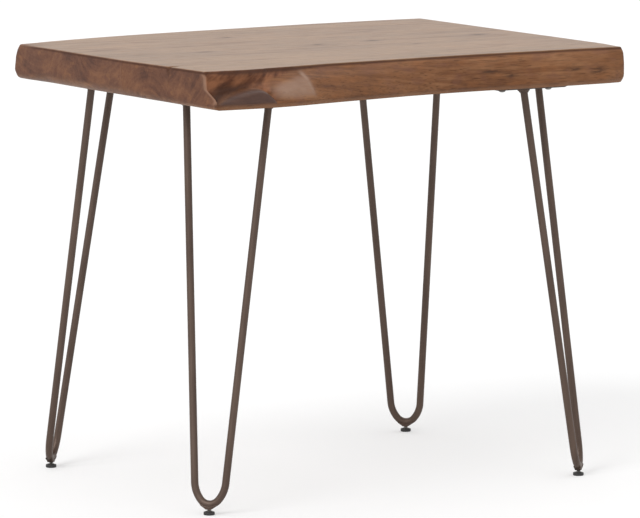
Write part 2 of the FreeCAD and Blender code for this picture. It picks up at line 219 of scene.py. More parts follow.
# Heights at which the top, the upper edge and the lower edge of the boards begin, and their middle
TOP_BAND, UPPER_BAND, LOWER_BAND, MID_HEIGHT = (0.5575, 0.5588), (0.5555, 0.5580), (0.5140, 0.5185), 0.536
DARKER_FROM = (-0.275, -0.255)
EULER = 2.718


def spot_mask(first, second, half):
    """1 in the middle of an oval spot, falling off smoothly."""
    across, along = first / half[0], second / half[1]
    return EULER ** ((across * across + along * along) * -0.7)


def board_wood(name, pith, shift, tone, spots, front=False):
    """Oiled hardwood: rings about the board's own pith, streaks and pores along X, blotchy end grain, and a
    painted sheen that makes the top paler.
    """
    material, shader, wire, place = new_material(name)
    x, y, z = axes(place)
    end = attribute(wire, "end_grain")
    on_top = z.step(*TOP_BAND) * (1 - end)
    wave, ripple, streak, fleck, fibre, blotch, specks, warm, lines = (
        stretched_noise(place, *layer, shift) for layer in GRAIN)
    bend = (wave - 0.5) * 0.016 + (ripple - 0.5) * 0.006
    out = y - pith[0] + bend
    up = z - pith[1] + bend * 0.6 + x * pith[2]
    radius = (out * out + up * up) ** 0.5
    rings = line_noise(radius * RINGS_PER_METRE + shift[0], 0.6)
    figure = rings * 0.28 + streak * 0.48 + fleck * 0.40 + blotch * 0.58 + fibre * 0.15 - 0.445 + tone
    colour = figure.ramp((0.22, DARK_GRAIN), (0.49, MID_GRAIN), (0.78, LIGHT_GRAIN))
    pores = specks.step(0.64, 0.72)
    colour = colour.tint(PORE_SHADE, pores * 0.5)
    colour = colour.tint(ORANGE_FLECK, warm.step(0.53, 0.68) * 0.28)
    colour = colour.tint(PLUM_FLECK, (1 - warm.step(0.32, 0.47)) * 0.40)
    # Painted sheen: a paler top
    colour = colour.tint(TOP_PAINTED_SHEEN, on_top * (0.25 + streak * 0.36))
    open_grain = on_top * (lines * 0.6 + rings * 0.4).step(0.50, 0.64)
    colour = colour.tint(DARK_GRAIN, open_grain * 0.42)
    dull = open_grain * 0.10
    for spot_x, spot_y, half_x, half_y in spots:
        wander = (fleck - 0.5) * 0.012
        spot = spot_mask(x - spot_x + wander, y - spot_y + wander * 0.6, (half_x, half_y))
        halo = spot_mask(x - spot_x, y - spot_y, (half_x * 3, half_y * 2.2))
        colour = colour.tint(DARK_GRAIN, halo * on_top * streak * 0.6)
        colour = colour.tint(PORE_SHADE, spot * on_top * 0.8)
        dull = dull + spot * on_top * 0.30

    cloud, mottle, glints, end_specks = (stretched_noise(place, *layer) for layer in END_GRAIN)
    rays = line_noise((y + (z - MID_HEIGHT) * RAY_LEAN) * RAYS_PER_METRE)
    end_figure = cloud * 0.80 + mottle * 0.38 + rings * 0.24 + rays * 0.12 - 0.27
    end_colour = end_figure.ramp((0.34, END_DARK), (0.51, END_MID), (0.70, END_LIGHT))
    end_colour = end_colour.tint(END_GLINT, glints.step(0.58, 0.70) * 0.55)
    end_colour = end_colour.tint(PORE_SHADE, end_specks.step(0.60, 0.70) * 0.45)
    colour = colour.tint(end_colour, end)
    arris = attribute(wire, "arris")
    gloss = (0.14 + on_top * 0.29 - end * 0.08 - dull) * (1 - arris * 0.85)
    if front:
        colour, gloss = front_edge_colour(wire, place, colour, gloss)
    colour = colour.tint(ARRIS_SHADE, arris * (0.45 + streak * 0.7))
    height = rings * 0.25 + streak * 0.3 + fibre * 0.5 - pores * 0.7
    bump = wire.node("ShaderNodeBump", Strength=0.35, Distance=0.0006, Height=height)
    dress(wire, shader, Base_Color=colour, Roughness=0.42 + fibre * 0.12 + pores * 0.2 + end * 0.1,
          Normal=bump, Coat_Weight=gloss, Coat_Roughness=0.32, Specular_IOR_Level=0.16)
    return material


def front_edge_colour(wire, place, colour, gloss):
    """The knots, painted bounce light on the lower edge, painted highlights on the rims of the ends, and the
    natural hollow at the left end with its smooth wane, its crevice in painted shade and its pale facet as a
    painted highlight.
    """
    x, _, z = axes(place)
    speckle = stretched_noise(place, (70.0, 70.0, 420.0), 3.0, 0.6)
    below_top = 1 - z.step(*UPPER_BAND)
    for middle, half, shade, strength in STRETCHES:
        away = (x - middle) / half
        colour = colour.tint(shade, EULER ** (away * away * -1) * below_top * strength)
    # Painted bounce light: the lowest few millimetres are lightened towards the pale grain colour
    colour = colour.tint(LIGHT_GRAIN, (1 - z.step(*LOWER_BAND)) * 0.5)
    for knot_x, knot_z, half_x, half_z in KNOTS:
        core = spot_mask(x - knot_x, z - knot_z, (half_x, half_z)) * speckle.step(0.34, 0.60)
        colour = colour.tint(PORE_SHADE, core * below_top * 0.8)
    names = ("hollow", "crevice", "wane", "facet", "rim")
    hollow, crevice, wane, facet, rim = (attribute(wire, name) for name in names)
    slanted = wire.node("ShaderNodeCombineXYZ", X=x * SLANT[0] + z * SLANT[1], Z=z * SLANT[0] - x * SLANT[1])
    lumps = stretched_noise(slanted, (40.0, 1.0, 120.0), 4.0, 0.6)
    deeper = x.step(*DARKER_FROM) * 0.05
    hollow_colour = (lumps - deeper).ramp((0.34, HOLLOW_DARK), (0.63, HOLLOW_LIGHT))
    colour = colour.tint(hollow_colour, hollow * 0.92)
    # Painted shade in the crevice above the wane and under the brow at the top of the hollow
    colour = colour.tint(CREVICE_PAINTED_SHADE, crevice * (0.62 + lumps * 0.5))
    grain = stretched_noise(place, (60.0, 60.0, 160.0), 3.0, 0.65)
    # Painted highlight on the facet and the ridge's crest
    colour = colour.tint(FACET_PAINTED_HIGHLIGHT, facet * (0.45 + grain * 0.9))
    wane_colour = (grain * 0.5 + speckle * 0.5).ramp((0.32, WANE_SHADE), (0.68, WANE_LIGHT))
    colour = colour.tint(wane_colour, wane * 0.95)
    # Painted highlight on the rounded rims of the sawn ends
    colour = colour.tint(RIM_PAINTED_HIGHLIGHT, rim * (0.45 + lumps * 0.5))
    return colour, gloss + wane * 0.25 + facet * 0.1 - hollow * 0.08


# Metal and plastic

BRONZE_DARK, BRONZE_LIGHT = (0.074, 0.047, 0.035), (0.130, 0.087, 0.066)
ZINC_DARK, ZINC_LIGHT = (0.12, 0.112, 0.104), (0.23, 0.22, 0.205)
PLASTIC_DARK, PLASTIC_LIGHT = (0.016, 0.015, 0.015), (0.030, 0.029, 0.028)


def bronze_paint():
    """Satin bronze-brown lacquer on steel, with a fine texture and slight cloudiness."""
    material, shader, wire, place = new_material("bronze_paint")
    cloud = stretched_noise(place, (70.0, 70.0, 10.0), 3.0)
    grit = stretched_noise(place, (1400.0, 1400.0, 1400.0), 1.0)
    colour = (cloud * 0.7 + grit * 0.3).ramp((0.3, BRONZE_DARK), (0.7, BRONZE_LIGHT))
    bump = wire.node("ShaderNodeBump", Strength=0.25, Distance=0.0002, Height=grit)
    dress(wire, shader, Base_Color=colour, Roughness=0.36 + cloud * 0.16, Normal=bump, Metallic=0.5)
    return material


def dull_zinc():
    """Dull darkened zinc on screws and studs."""
    material, shader, wire, place = new_material("dull_zinc")
    cloud = stretched_noise(place, (300.0, 300.0, 300.0), 3.0)
    colour = cloud.ramp((0.3, ZINC_DARK), (0.7, ZINC_LIGHT))
    dress(wire, shader, Base_Color=colour, Roughness=0.3 + cloud * 0.2, Metallic=0.9)
    return material


def foot_plastic():
    """Matte black moulded plastic."""
    material, shader, wire, place = new_material("foot_plastic")
    grit = stretched_noise(place, (2500.0, 2500.0, 2500.0), 1.0)
    colour = grit.ramp((0.3, PLASTIC_DARK), (0.7, PLASTIC_LIGHT))
    bump = wire.node("ShaderNodeBump", Strength=0.2, Distance=0.0001, Height=grit)
    dress(wire, shader, Base_Color=colour, Roughness=0.5 + grit * 0.15, Normal=bump)
    return material


# Meshes

def add_object(name, data):
    """A new object in the scene."""
    made = bpy.data.objects.new(name, data)
    bpy.context.scene.collection.objects.link(made)
    return made


def real_mesh(made):
    """An object's mesh with its modifiers applied."""
    return bpy.data.meshes.new_from_object(made.evaluated_get(bpy.context.evaluated_depsgraph_get()))


def cover(mesh, material):
    """Give a mesh one material."""
    mesh.materials.clear()
    mesh.materials.append(material)


def new_piece(name, mesh, body, slot, material, *replaced):
    """Put a finished mesh in the scene on its body, in place of CAD nodes."""
    piece = add_object(name, mesh)
    cover(mesh, material)
    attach(piece, body)
    if replaced:
        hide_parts(*replaced)
    return piece


def close_mesh(shape, name):
    """Turn a bmesh into a mesh with its faces outward."""
    bmesh.ops.recalc_face_normals(shape, faces=shape.faces)
    mesh = bpy.data.meshes.new(name)
    shape.to_mesh(mesh)
    shape.free()
    return mesh


def bridge(shape, lower, upper):
    """Add the faces between two closed rings of vertices, where a ring may be one point repeated."""
    for corners in zip(lower, lower[1:] + lower[:1], upper[1:] + upper[:1], upper):
        shape.faces.new(tuple(dict.fromkeys(corners))).smooth = True


def rise(value, low, high):
    """0 below low, 1 above high, smooth between."""
    share = min(1.0, max(0.0, (value - low) / (high - low)))
    return share * share * (3 - 2 * share)


def fall(value, low, high):
    """1 below low, 0 above high, smooth between."""
    return 1 - rise(value, low, high)


# The boards of the top

BOARDS = {
    # name: the side that is a live edge, the pith's y, z and slope along X, the pattern's shift, and its tone
    "board_front": (-1, (-0.10, 0.64, 0.02), (3.1, 0.2, 0.7), 0.00),
    "board_mid_front": (0, (-0.12, 0.48, 0.05), (7.7, 1.3, 0.4), 0.015),
    "board_centre": (0, (-0.01, 0.61, -0.04), (1.9, 4.1, 2.2), -0.015),
    "board_mid_back": (0, (0.07, 0.50, 0.06), (5.3, 2.9, 6.1), 0.015),
    "board_back": (1, (0.14, 0.63, -0.05), (9.2, 6.6, 3.8), -0.005),
}
LIVE_STEP, PLAIN_STEP = 1.25 * MM, 20 * MM
LEVELS = 47
NEAR_END = [distance * MM for distance in (0, 0.2, 0.6, 1.2, 2, 3, 4.2, 6, 8.5, 12, 17)]
CORNER_ROUND = {(-1, -1): 1.5 * MM, (-1, 1): 4 * MM, (1, -1): 6 * MM, (1, 1): 3 * MM}
COLUMNS = (0.0, 0.01, 0.03, 0.06, 0.15, 0.3, 0.45, 0.6, 0.75, 0.86, 0.92, 0.95, 0.97, 0.985)
SEAM_LEVEL = LEVELS - 11
CRACK_LINE, CRACK_FROM, CRACK_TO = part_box("board_front")[1].y, -0.327, -0.306
CRACK_HALF, CRACK_DEPTH, CRACK_FADE = 2.6 * MM, 4.5 * MM, 20 * MM
DROOP, DROOP_REACH, DROOP_BAND = 1.0 * MM, 60 * MM, (0.10, 0.19)
# Rounding of the sawn ends' upper and lower edges: radius, and how much more or less in a band of Y
LEFT_TOP, LEFT_TOP_MORE, LEFT_TOP_BAND = 3 * MM, 3 * MM, (0.13, 0.20)
LEFT_UNDER, LEFT_UNDER_MORE, LEFT_MORE_FROM, LEFT_MORE_REACH = 6.5 * MM, 10 * MM, -0.25, 0.18
LEFT_UNDER_LESS, LEFT_LESS_BAND = 5.5 * MM, (0.12, 0.19)
RIGHT_TOP, RIGHT_TOP_MORE, RIGHT_UNDER, RIGHT_UNDER_LESS = 0.8 * MM, 5.6 * MM, 10 * MM, 2 * MM
RIGHT_BAND = (-0.215, -0.17)
SANDED_REACH, SANDED_DEPTH, SANDED_BIAS = 8 * MM, 0.5 * MM, 0.6
# Reading a live edge from the solid: distance from the faces, passes of smoothing, and an end face's slant
EDGE_INSET, SOFT_UP, SOFT_ALONG, END_SLANT = 0.004, 3, 14, 0.7
# Roughness of a live edge: features per metre along and up, the pattern's place, and its height
EDGE_GRAIN = ((13, 16, 5.0, 1.0 * MM), (42, 60, 9.0, 0.45 * MM), (22, 230, 13.0, 0.2 * MM))

# The hollow at the left end of the front edge, by x and by height over the underside
ARCH_PEAK, ARCH_LEFT, ARCH_RIGHT, ARCH_TOP = -0.257, 0.069, 0.0295, 24 * MM
CREASE_LOW = 8 * MM
FACET_LEFT, FACET_LOW, FACET_RISE = -0.244, 12 * MM, (24 * MM, 11 * MM)
RIDGE_TOP, RIDGE_SLOPE = (-0.178, 41 * MM), 0.2
SLANT = (0.83, 0.55)
# Where its parts begin and end, as bands of x and of height, and how far they stand out
HOLLOW_RIGHT, HOLLOW_FLARE, FLARE_BAND = -0.232, 0.045, (30 * MM, 44 * MM)
# The crevice above the wane and the brow under the top edge are darkened as painted shade
CREVICE_DEEP, CREVICE_MORE, CREVICE_MORE_TO, CREVICE_TO = 2 * MM, 4 * MM, (-0.305, -0.275), (-0.285, -0.240)
BROW_BAND, BROW_FROM, BROW_TO, BROW_SHARE = (36 * MM, 43 * MM), (-0.310, -0.285), (-0.20, -0.15), 0.45
WANE_BAND, WANE_OUT, FACET_IN, FACET_SHARE = (4 * MM, 8.5 * MM), 1.5 * MM, 1.2 * MM, 0.85
CREST_HALF, CREST_BAND = 4 * MM, (10 * MM, 20 * MM)
CALM_TO, KNOB_OUT = (-0.322, -0.300), 1.8 * MM
CREASE_DEEP, CREASE_HALF, CREASE_TO = 2.4 * MM, 2.2 * MM, (-0.240, -0.225)
RIDGE_OUT, RIDGE_HALF, RIDGE_FOOT, RIDGE_HEAD = 1.8 * MM, 5 * MM, (6 * MM, 14 * MM), (38 * MM, 44 * MM)
# The dark upper arris, which is wider over the hollow
WIDE_FROM, WIDE_TO, ARRIS_TOP = (-0.31, -0.29), (-0.19, -0.13), (0.3 * MM, 1.3 * MM)


def search_tree(node):
    """A CAD node's faces, for finding its surface."""
    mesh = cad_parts[node].data
    places = [vertex.co for vertex in mesh.vertices]
    return BVHTree.FromPolygons(places, [face.vertices for face in mesh.polygons])


def end_line(tree, low, high, side, live):
    """The sawn end of a board as x = start + slope * y, from the solid."""
    middle = (low.z + high.z) / 2
    glued = low.y if live > 0 else high.y
    towards = 1 if live > 0 else -1
    spots = []
    for distance in (0.005, 0.025):
        y = glued + towards * distance
        hit = tree.ray_cast(Vector((side, y, middle)), Vector((-side, 0, 0)))[0]
        spots.append((hit.x, y))
    slope = (spots[1][0] - spots[0][0]) / (spots[1][1] - spots[0][1])
    return spots[0][0] - slope * spots[0][1], slope


def soften(line):
    """One pass of a 1-2-1 filter that leaves the two ends where they are."""
    inner = [(before + 2 * here + after) / 4 for before, here, after in zip(line, line[1:], line[2:])]
    return [line[0], *inner, line[-1]]


def arch(x):
    """The height of the wane's upper line, steeper on its right."""
    across = (x - ARCH_PEAK) / (ARCH_LEFT if x < ARCH_PEAK else ARCH_RIGHT)
    return ARCH_TOP * (1 - across * across)


def ridge(height):
    """The x of the ridge that ends the hollow's facet on the right."""
    return RIDGE_TOP[0] + (RIDGE_TOP[1] - height) * RIDGE_SLOPE


def bell(value, half):
    """1 at 0, falling off smoothly."""
    return math.exp(-(value / half) ** 2)


def hollow_marks(x, height):
    """How far a spot of the front edge belongs to the hollow, its crevice (painted shade), its wane and its
    pale facet (painted highlight).
    """
    over = height - max(arch(x), CREASE_LOW)
    right = HOLLOW_RIGHT + HOLLOW_FLARE * rise(height, *FLARE_BAND)
    hollow = rise(over, -1 * MM, 2 * MM) * fall(x, right - 0.016, right + 0.014)
    deep = CREVICE_DEEP + CREVICE_MORE * fall(x, *CREVICE_MORE_TO)
    crevice = bell(over - deep, deep + 2.5 * MM) * fall(x, *CREVICE_TO)
    brow = rise(height, *BROW_BAND) * rise(x, *BROW_FROM) * fall(x, *BROW_TO)
    crevice = max(crevice, BROW_SHARE * brow)
    wane = rise(arch(x) - height, -1 * MM, 2.5 * MM) * rise(height, *WANE_BAND)
    top = FACET_RISE[0] + FACET_RISE[1] * rise(x, FACET_LEFT, RIDGE_TOP[0])
    facet = rise(height, FACET_LOW - 5 * MM, FACET_LOW + 5 * MM) * fall(height, top - 5 * MM, top + 3 * MM)
    facet *= rise(x, FACET_LEFT, FACET_LEFT + 0.030) * fall(x, ridge(height), ridge(height) + 6 * MM)
    crest = bell(x - ridge(height), CREST_HALF) * rise(height, *CREST_BAND) * fall(height, *BROW_BAND)
    return hollow, crevice, wane, max(FACET_SHARE * facet, crest) * (1 - wane)


def edge_relief(x, height, side):
    """How far the natural surface stands out of the plain live edge."""
    relief = sum(noise.noise(Vector((x * along, height * up, side * place))) * size
                 for along, up, place, size in EDGE_GRAIN)
    if side < 0:
        hollow, _, wane, facet = hollow_marks(x, height)
        inside = rise(x, *CALM_TO)
        along, across = x * SLANT[0] + height * SLANT[1], height * SLANT[0] - x * SLANT[1]
        knobs = noise.noise(Vector((along * 45, across * 120, 3.0))) * KNOB_OUT
        relief = relief * (1 - 0.7 * wane) * (0.3 + 0.7 * inside)
        relief += hollow * knobs * inside + WANE_OUT * wane - FACET_IN * facet
        over = height - max(arch(x), CREASE_LOW)
        relief -= CREASE_DEEP * bell(over, CREASE_HALF) * inside * fall(x, *CREASE_TO)
        past_ridge = bell(x - ridge(height), RIDGE_HALF)
        relief += RIDGE_OUT * past_ridge * rise(height, *RIDGE_FOOT) * fall(height, *RIDGE_HEAD)
    return relief


def live_face(tree, low, high, side):
    """The live edge as rows of y over stations along X and levels in Z, softened and roughened."""
    stations = [low.x + LIVE_STEP * number for number in range(int((high.x - low.x) / LIVE_STEP) + 2)]
    shares = [EDGE_INSET + (1 - 2 * EDGE_INSET) * number / (LEVELS - 1) for number in range(LEVELS)]
    rows = []
    for x in stations:
        row = []
        for share in shares:
            start = Vector((x, side, low.z + (high.z - low.z) * share))
            hit, normal = tree.ray_cast(start, Vector((0, -side, 0)))[:2]
            row.append(hit.y if hit and abs(normal.x) < END_SLANT else None)
        rows.append(row)
    measured = [number for number, row in enumerate(rows) if None not in row]
    for number, row in enumerate(rows):
        if None in row:
            rows[number] = list(rows[min(measured, key=lambda other: abs(other - number))])
    for _ in range(SOFT_UP):
        rows = [soften(row) for row in rows]
    for _ in range(SOFT_ALONG):
        rows = [list(column) for column in zip(*(soften(line) for line in zip(*rows)))]
    for x, row in zip(stations, rows):
        for number, share in enumerate(shares):
            row[number] += side * edge_relief(x, (high.z - low.z) * share, side)
    return stations, rows


def ease(reach, corner):
    """How far a rounded corner draws the surface in at a distance from the end."""
    if reach >= corner:
        return 0.0
    return corner - math.sqrt(corner ** 2 - (corner - reach) ** 2)


class Board:
    """One board of the top: its box, its sawn ends and its live edge, read from the solid."""

    def __init__(self, name, side):
        self.name, self.side = name, side
        self.low, self.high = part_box(name)
        tree = search_tree(name)
        self.ends = [end_line(tree, self.low, self.high, sign, side) for sign in (-1, 1)]
        self.face = live_face(tree, self.low, self.high, side) if side else None
        self.glue = self.low.y if side > 0 else self.high.y
        steps = int((self.high.x - self.low.x) / (LIVE_STEP if side else PLAIN_STEP))
        last = NEAR_END[-1]
        self.stations = [(0.0, reach) for reach in NEAR_END]
        self.stations += [(number / steps, last * (1 - 2 * number / steps)) for number in range(1, steps)]
        self.stations += [(1.0, -reach) for reach in reversed(NEAR_END)]

    def end_reach(self, station):
        """How far a station is from the nearer end, up to the last rounded one."""
        share, offset = station
        return abs(offset) if share in (0.0, 1.0) else NEAR_END[-1]

    def x_at(self, station, y):
        """The x of a station at some y, between the two sawn ends."""
        share, offset = station
        left, right = (start + slope * y for start, slope in self.ends)
        return left + (right - left) * share + offset

    def edge_y(self, x, level):
        """The live edge's y between its measured stations."""
        stations, rows = self.face
        place = min(max((x - stations[0]) / LIVE_STEP, 0), len(stations) - 1.001)
        number = int(place)
        part = place - number
        return rows[number][level] * (1 - part) + rows[number + 1][level] * part

    def height_at(self, station, y, level):
        """The z of a level, between the rounded edges of the sawn ends."""
        reach = self.end_reach(station)
        if station[0] < 0.5:
            top = LEFT_TOP + LEFT_TOP_MORE * rise(y, *LEFT_TOP_BAND)
            more = min(1, max(0, (y - LEFT_MORE_FROM) / LEFT_MORE_REACH))
            under = LEFT_UNDER + LEFT_UNDER_MORE * more - LEFT_UNDER_LESS * rise(y, *LEFT_LESS_BAND)
        else:
            near = fall(y, *RIGHT_BAND)
            top = RIGHT_TOP + RIGHT_TOP_MORE * near
            under = RIGHT_UNDER - RIGHT_UNDER_LESS * near
        inward = abs(self.x_at(station, y) - self.x_at((0.0, 0.0), y))
        floor = self.low.z + ease(reach, under)
        droop = DROOP * rise(y, *DROOP_BAND) * fall(inward, 0, DROOP_REACH)
        roof = self.high.z - ease(reach, top) - droop
        return floor + (roof - floor) * level / (LEVELS - 1)

    def outer_line(self, station):
        """The y of the outer side of the section, from bottom to top."""
        if not self.side:
            return [self.low.y] * LEVELS
        corner = CORNER_ROUND[-1 if station[0] < 0.5 else 1, self.side]
        draw_in = self.side * ease(self.end_reach(station), corner)
        guess = self.x_at(station, self.glue + self.side * 0.08)
        line = [self.edge_y(guess, level) for level in range(LEVELS)]
        return [self.edge_y(self.x_at(station, y), level) - draw_in for level, y in enumerate(line)]

    def point(self, station, y, z):
        """A point of the surface, with the slight unevenness of a sanded end and the open glue line."""
        reach = self.end_reach(station)
        x = self.x_at(station, y)
        sign = 1 if station[0] > 0.5 else -1
        uneven = noise.noise(Vector((y * 25, z * 40, sign))) - SANDED_BIAS
        x += sign * fall(reach, 0, SANDED_REACH) * uneven * SANDED_DEPTH
        z -= CRACK_DEPTH * self.opening(x, y) * fall(self.high.z - z, 0, CRACK_FADE)
        return x, y, z

    def opening(self, x, y):
        """How far the front glue line has opened at a spot, 1 at the left end."""
        return bell(y - CRACK_LINE, CRACK_HALF) * fall(x, CRACK_FROM, CRACK_TO)

    def marks(self, station, spot, outer, column):
        """The end grain, dark upper arris, rim with a painted highlight, hollow, crevice with painted shade,
        wane and facet with a painted highlight at a vertex.
        """
        x, y, z = spot
        reach, under, over = self.end_reach(station), self.high.z - z, z - self.low.z
        on_edge = column == len(COLUMNS) and self.side
        wide = 0
        if on_edge and self.side < 0:
            wide = rise(x, *WIDE_FROM) * fall(x, *WIDE_TO)
        band = rise(under, *ARRIS_TOP) * fall(under, (2.2 + wide) * MM, (4.2 + 2 * wide) * MM)
        arris = band if on_edge else band * fall(reach, 1 * MM, 2 * MM)
        gaping = min(1, 3 * self.opening(x, y))
        arris = max(arris, gaping * fall(under, 4 * MM, 12 * MM))
        marks = (0, 0, 0, 0)
        # The rim mark carries a painted highlight along the rounded corners of the sawn ends
        if on_edge:
            rim = fall(reach, 0.1 * MM, 0.8 * MM)
            if self.side < 0:
                marks = hollow_marks(x, over)
        else:
            rim = fall(abs(y - outer), 2.5 * MM, 8 * MM) * fall(reach, 0.5 * MM, 2 * MM)
        rim *= rise(under, 2 * MM, 5 * MM) * rise(over, 5 * MM, 10 * MM)
        return fall(reach, 0.3 * MM, 2 * MM), arris, rim, *marks

    def mesh(self):
        """One closed mesh, with its marks for the grain and for painted shade and highlights."""
        shape = bmesh.new()
        names = ("end_grain", "arris", "rim", "hollow", "crevice", "wane", "facet")
        layers = [shape.verts.layers.float.new(name) for name in names]
        count, top_level = len(COLUMNS), LEVELS - 1

        def vertex(station, y, level, column, outer):
            spot = self.point(station, y, self.height_at(station, y, level))
            made = shape.verts.new(spot)
            for layer, mark in zip(layers, self.marks(station, spot, outer, column)):
                made[layer] = mark
            return made

        rings, caps = [], []
        for station in self.stations:
            line = self.outer_line(station)
            rows = {level: [self.glue + (line[level] - self.glue) * share for share in COLUMNS]
                    for level in range(LEVELS)}
            bottom, top = ([vertex(station, y, level, column, line[level])
                            for column, y in enumerate(rows[level])] for level in (0, top_level))
            outer = [vertex(station, line[level], level, count, line[level])
                     for level in (range(LEVELS) if self.side else (0, SEAM_LEVEL, top_level))]
            seam = vertex(station, self.glue, SEAM_LEVEL, 0, line[SEAM_LEVEL])
            rings.append(bottom + outer + top[::-1] + [seam])
            if station in (self.stations[0], self.stations[-1]):
                grid = [[bottom[column], *(vertex(station, rows[level][column], level, column, line[level])
                                           for level in range(1, top_level)), top[column]]
                        for column in range(1, count)]
                caps.append(((bottom[0], seam, top[0]), grid, outer))
        seams = (0, -2) if self.side else (0, -2, count, count + 2)
        for before, after in zip(rings, rings[1:]):
            bridge(shape, before, after)
            for number in seams:
                shape.edges.get((before[number], after[number])).smooth = False
        for glued, grid, outer in caps:
            shape.faces.new([glued[0], *grid[0], glued[2], glued[1]])
            crisp = [glued[:2], glued[1:]]
            if self.side:
                grid.append(outer)
            else:
                shape.faces.new([*grid[-1], *reversed(outer)])
                crisp += [outer[:2], outer[1:]]
            for edge_ends in crisp:
                shape.edges.get(edge_ends).smooth = False
            for first, second in zip(grid, grid[1:]):
                for level in range(top_level):
                    shape.faces.new((first[level], first[level + 1], second[level + 1], second[level]))
        for part in shape.faces:
            part.smooth = True
        return close_mesh(shape, self.name + "_wood")


def make_boards():
    """The five boards, each with its own grain."""
    for name, (side, pith, shift, tone) in BOARDS.items():
        material = board_wood(name + "_grain", pith, shift, tone, TOP_SPOTS.get(name, ()), side < 0)
        new_piece(name + "_wood", Board(name, side).mesh(), "table", "live_edge_wood", material, name)


# Shapes that repeat

def shape_tree(name, inputs):
    """A Geometry Nodes tree on points, with named inputs; returns the tree and a wire for each input."""
    tree = bpy.data.node_groups.new(name, "GeometryNodeTree")
    tree.interface.new_socket("Points", in_out="INPUT", socket_type="NodeSocketGeometry")
    for label, kind in inputs.items():
        tree.interface.new_socket(label, in_out="INPUT", socket_type="NodeSocket" + kind)
    tree.interface.new_socket("Shape", in_out="OUTPUT", socket_type="NodeSocketGeometry")
    entry = tree.nodes.new("NodeGroupInput")
    return tree, {socket.name: Wire(tree, socket) for socket in entry.outputs if socket.name}


def end_tree(shape, material):
    """End a tree in real geometry with one material."""
    real = shape.node("GeometryNodeRealizeInstances", Geometry=shape)
    painted = shape.node("GeometryNodeSetMaterial", Geometry=real, Material=material)
    exit_node = shape.tree.nodes.new("NodeGroupOutput")
    shape.tree.links.new(painted.socket, exit_node.inputs[0])


def grow(tree, points, values, edges=()):
    """Run a tree on points, joined by edges where they are paths, and return the result as a plain mesh."""
    cloud = bpy.data.meshes.new(tree.name + "_points")
    cloud.from_pydata(points, edges, [])
    holder = add_object(tree.name + "_holder", cloud)
    modifier = holder.modifiers.new("shape", "NODES")
    modifier.node_group = tree
    for item in tree.interface.items_tree:
        if item.in_out == "INPUT" and item.name in values:
            modifier[item.identifier] = values[item.name]
    mesh = real_mesh(holder)
    bpy.data.objects.remove(holder)
    return mesh


def sweep_tree(material):
    """A round bar along paths, rippled where it is a weld and drawn in at the ends of a bead."""
    inputs = {"Radius": "Float", "Ripple": "Float", "Taper": "Float", "Sides": "Int"}
    tree, given = shape_tree("swept_bar", inputs)
    path = given["Points"].node("GeometryNodeMeshToCurve", Mesh=given["Points"])
    index = path.node("GeometryNodeInputIndex")
    wave = path.math("SINE", index * RIPPLE_TURN)
    away = path.node("GeometryNodeSplineParameter", output="Factor") * 2 - 1
    thickness = (1 + wave * given["Ripple"]) * (1 - given["Taper"] * away ** TAPER_POWER)
    ring = path.node("GeometryNodeCurvePrimitiveCircle", Resolution=given["Sides"], Radius=given["Radius"])
    tube = path.node("GeometryNodeCurveToMesh", Curve=path, Profile_Curve=ring, Scale=thickness,
                     Fill_Caps=True)
    end_tree(tube.node("GeometryNodeSetShadeSmooth", Geometry=tube), material)
    return tree


def screw_tree(material):
    """One screw on every point, each stopped at its own angle."""
    tree, given = shape_tree("driven_screws", {"Screw": "Object", "Seed": "Int"})
    points = given["Points"]
    screw = points.node("GeometryNodeObjectInfo", output="Geometry", Object=given["Screw"])
    angle = points.node("FunctionNodeRandomValue", {"data_type": "FLOAT"}, output=1, in_2=0.0, in_3=math.tau,
                        Seed=given["Seed"])
    turn = points.node("ShaderNodeCombineXYZ", Z=angle)
    driven = points.node("GeometryNodeInstanceOnPoints", Points=points, Instance=screw, Rotation=turn)
    end_tree(driven, material)
    return tree


def path_mesh(tree, paths, closed, values):
    """Sweep a tree along paths of points, given one after another."""
    points, edges = [], []
    for path in paths:
        first = len(points)
        points += [tuple(point) for point in path]
        edges += [(number, number + 1) for number in range(first, len(points) - 1)]
        if closed:
            edges.append((len(points) - 1, first))
    return grow(tree, points, values, edges)


def lathe(profile, sides):
    """A closed turned shape about Z, from radius and height, in a new bmesh."""
    shape = bmesh.new()
    rings = []
    for radius, height in profile:
        if radius == 0:
            rings.append([shape.verts.new((0, 0, height))] * sides)
        else:
            turns = [math.tau * number / sides for number in range(sides)]
            rings.append([shape.verts.new((radius * math.cos(turn), radius * math.sin(turn), height))
                          for turn in turns])
    for lower, upper in zip(rings, rings[1:]):
        bridge(shape, lower, upper)
    return shape


def rod(radius, low, high, sides):
    """A plain round rod about Z, in a new bmesh."""
    return lathe([(0, low), (radius, low), (radius, high), (0, high)], sides)


def rounded(start, corner, end, steps=4):
    """Points of a soft corner of a profile, as a curve pulled towards the corner."""
    shares = [number / steps for number in range(steps + 1)]
    return [tuple(a * (1 - t) ** 2 + 2 * b * t * (1 - t) + c * t * t for a, b, c in zip(start, corner, end))
            for t in shares]


def keep_sharp(shape, angle):
    """Mark the edges that turn more than an angle, so that they stay crisp."""
    for edge in shape.edges:
        if len(edge.link_faces) == 2 and edge.calc_face_angle(0) > angle:
            edge.smooth = False


def drilled(mesh, cutter, name):
    """A mesh with the shape of another cut out of it."""
    whole, tool = add_object(name + "_whole", mesh), add_object(name + "_cutter", cutter)
    cut = whole.modifiers.new("cut", "BOOLEAN")
    cut.operation, cut.solver, cut.object = "DIFFERENCE", "EXACT", tool
    result = real_mesh(whole)
    for item in (whole, tool):
        bpy.data.objects.remove(item)
    result.name = name
    return result


# The legs

